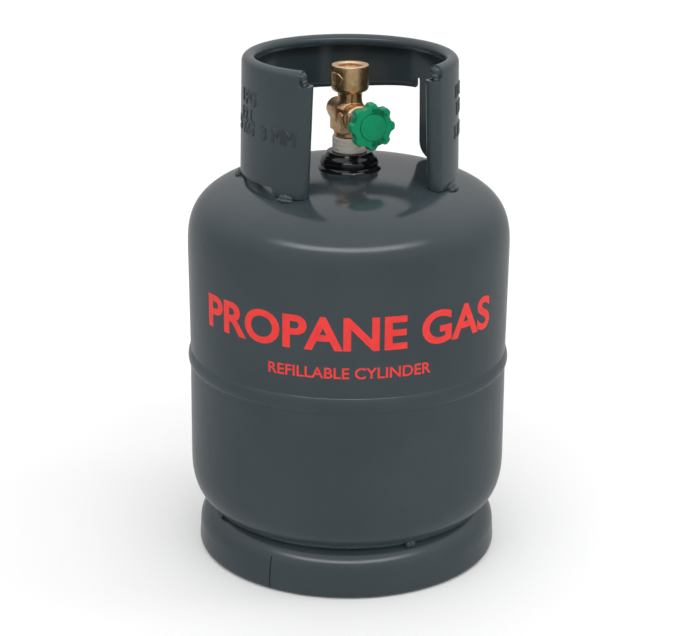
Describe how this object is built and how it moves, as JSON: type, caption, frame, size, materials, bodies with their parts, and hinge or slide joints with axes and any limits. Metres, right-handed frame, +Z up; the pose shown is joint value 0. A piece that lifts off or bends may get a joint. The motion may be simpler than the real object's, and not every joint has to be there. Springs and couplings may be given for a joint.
{
  "type": "propane cylinder",
  "caption": "Small refillable steel LPG cylinder with a foot ring, an open guard collar with a rear hand-hold, and a brass hand-wheel valve with a female top outlet.",
  "frame": {"origin": "on the ground, at the centre of the foot ring", "axes": "+Z up along the cylinder's axis; the collar's front opening faces -Y, the rear hand-hold faces +Y"},
  "size_m": [0.2476, 0.2476, 0.39],
  "materials": {
    "paint": "slate grey semi-gloss enamel over steel",
    "brass": "forged brass with machined faces",
    "ptfe_tape": "wound thread tape, off-white",
    "green_plastic": "moulded green plastic",
    "rubber": "black nitrile rubber",
    "steel": "plated steel",
    "nylon": "natural nylon"
  },
  "bodies": {
    "cylinder": {"upper_shell": "paint", "lower_shell": "paint", "girth_weld": "paint", "valve_boss": "paint", "boss_weld": "paint", "foot_ring": "paint", "foot_ring_weld_1": "paint", "foot_ring_weld_2": "paint", "foot_ring_weld_3": "paint", "foot_ring_weld_4": "paint", "collar": "paint", "collar_weld_1": "paint", "collar_weld_2": "paint", "collar_weld_3": "paint", "collar_weld_4": "paint", "valve_body": "brass", "thread_tape": "ptfe_tape", "bonnet": "brass", "bonnet_gasket": "nylon", "thrust_washer": "nylon", "relief_cap": "brass", "relief_spring": "steel"},
    "handwheel_and_spindle": {"handwheel": "green_plastic", "handwheel_cap": "green_plastic", "handwheel_screw": "steel", "spindle": "brass", "spindle_o_ring_1": "rubber", "spindle_o_ring_2": "rubber"},
    "plug": {"valve_plug": "brass", "seat_pad": "nylon"},
    "relief": {"relief_poppet": "brass", "relief_seal": "rubber"}
  },
  "joints": [
    {"name": "handwheel_turn", "type": "hinge", "parent": "cylinder", "child": "handwheel_and_spindle", "pos_m": [0, 0, 0.3435], "axis": [0.1305, -0.9914, 0], "range_deg": [0, 1080]},
    {"name": "plug_lift", "type": "slide", "parent": "handwheel_and_spindle", "child": "plug", "axis": [0.1305, -0.9914, 0], "range_m": [0, 0.00376]},
    {"name": "relief_lift", "type": "slide", "parent": "cylinder", "child": "relief", "axis": [-0.1305, 0.9914, 0], "range_m": [0, 0.002], "stiffness_N_per_m": 8000, "deforming": ["relief_spring"]}
  ],
  "couplings": [
    {"joint": "plug_lift", "follows": "handwheel_turn", "m_per_rad": 0.00019894}
  ]
}
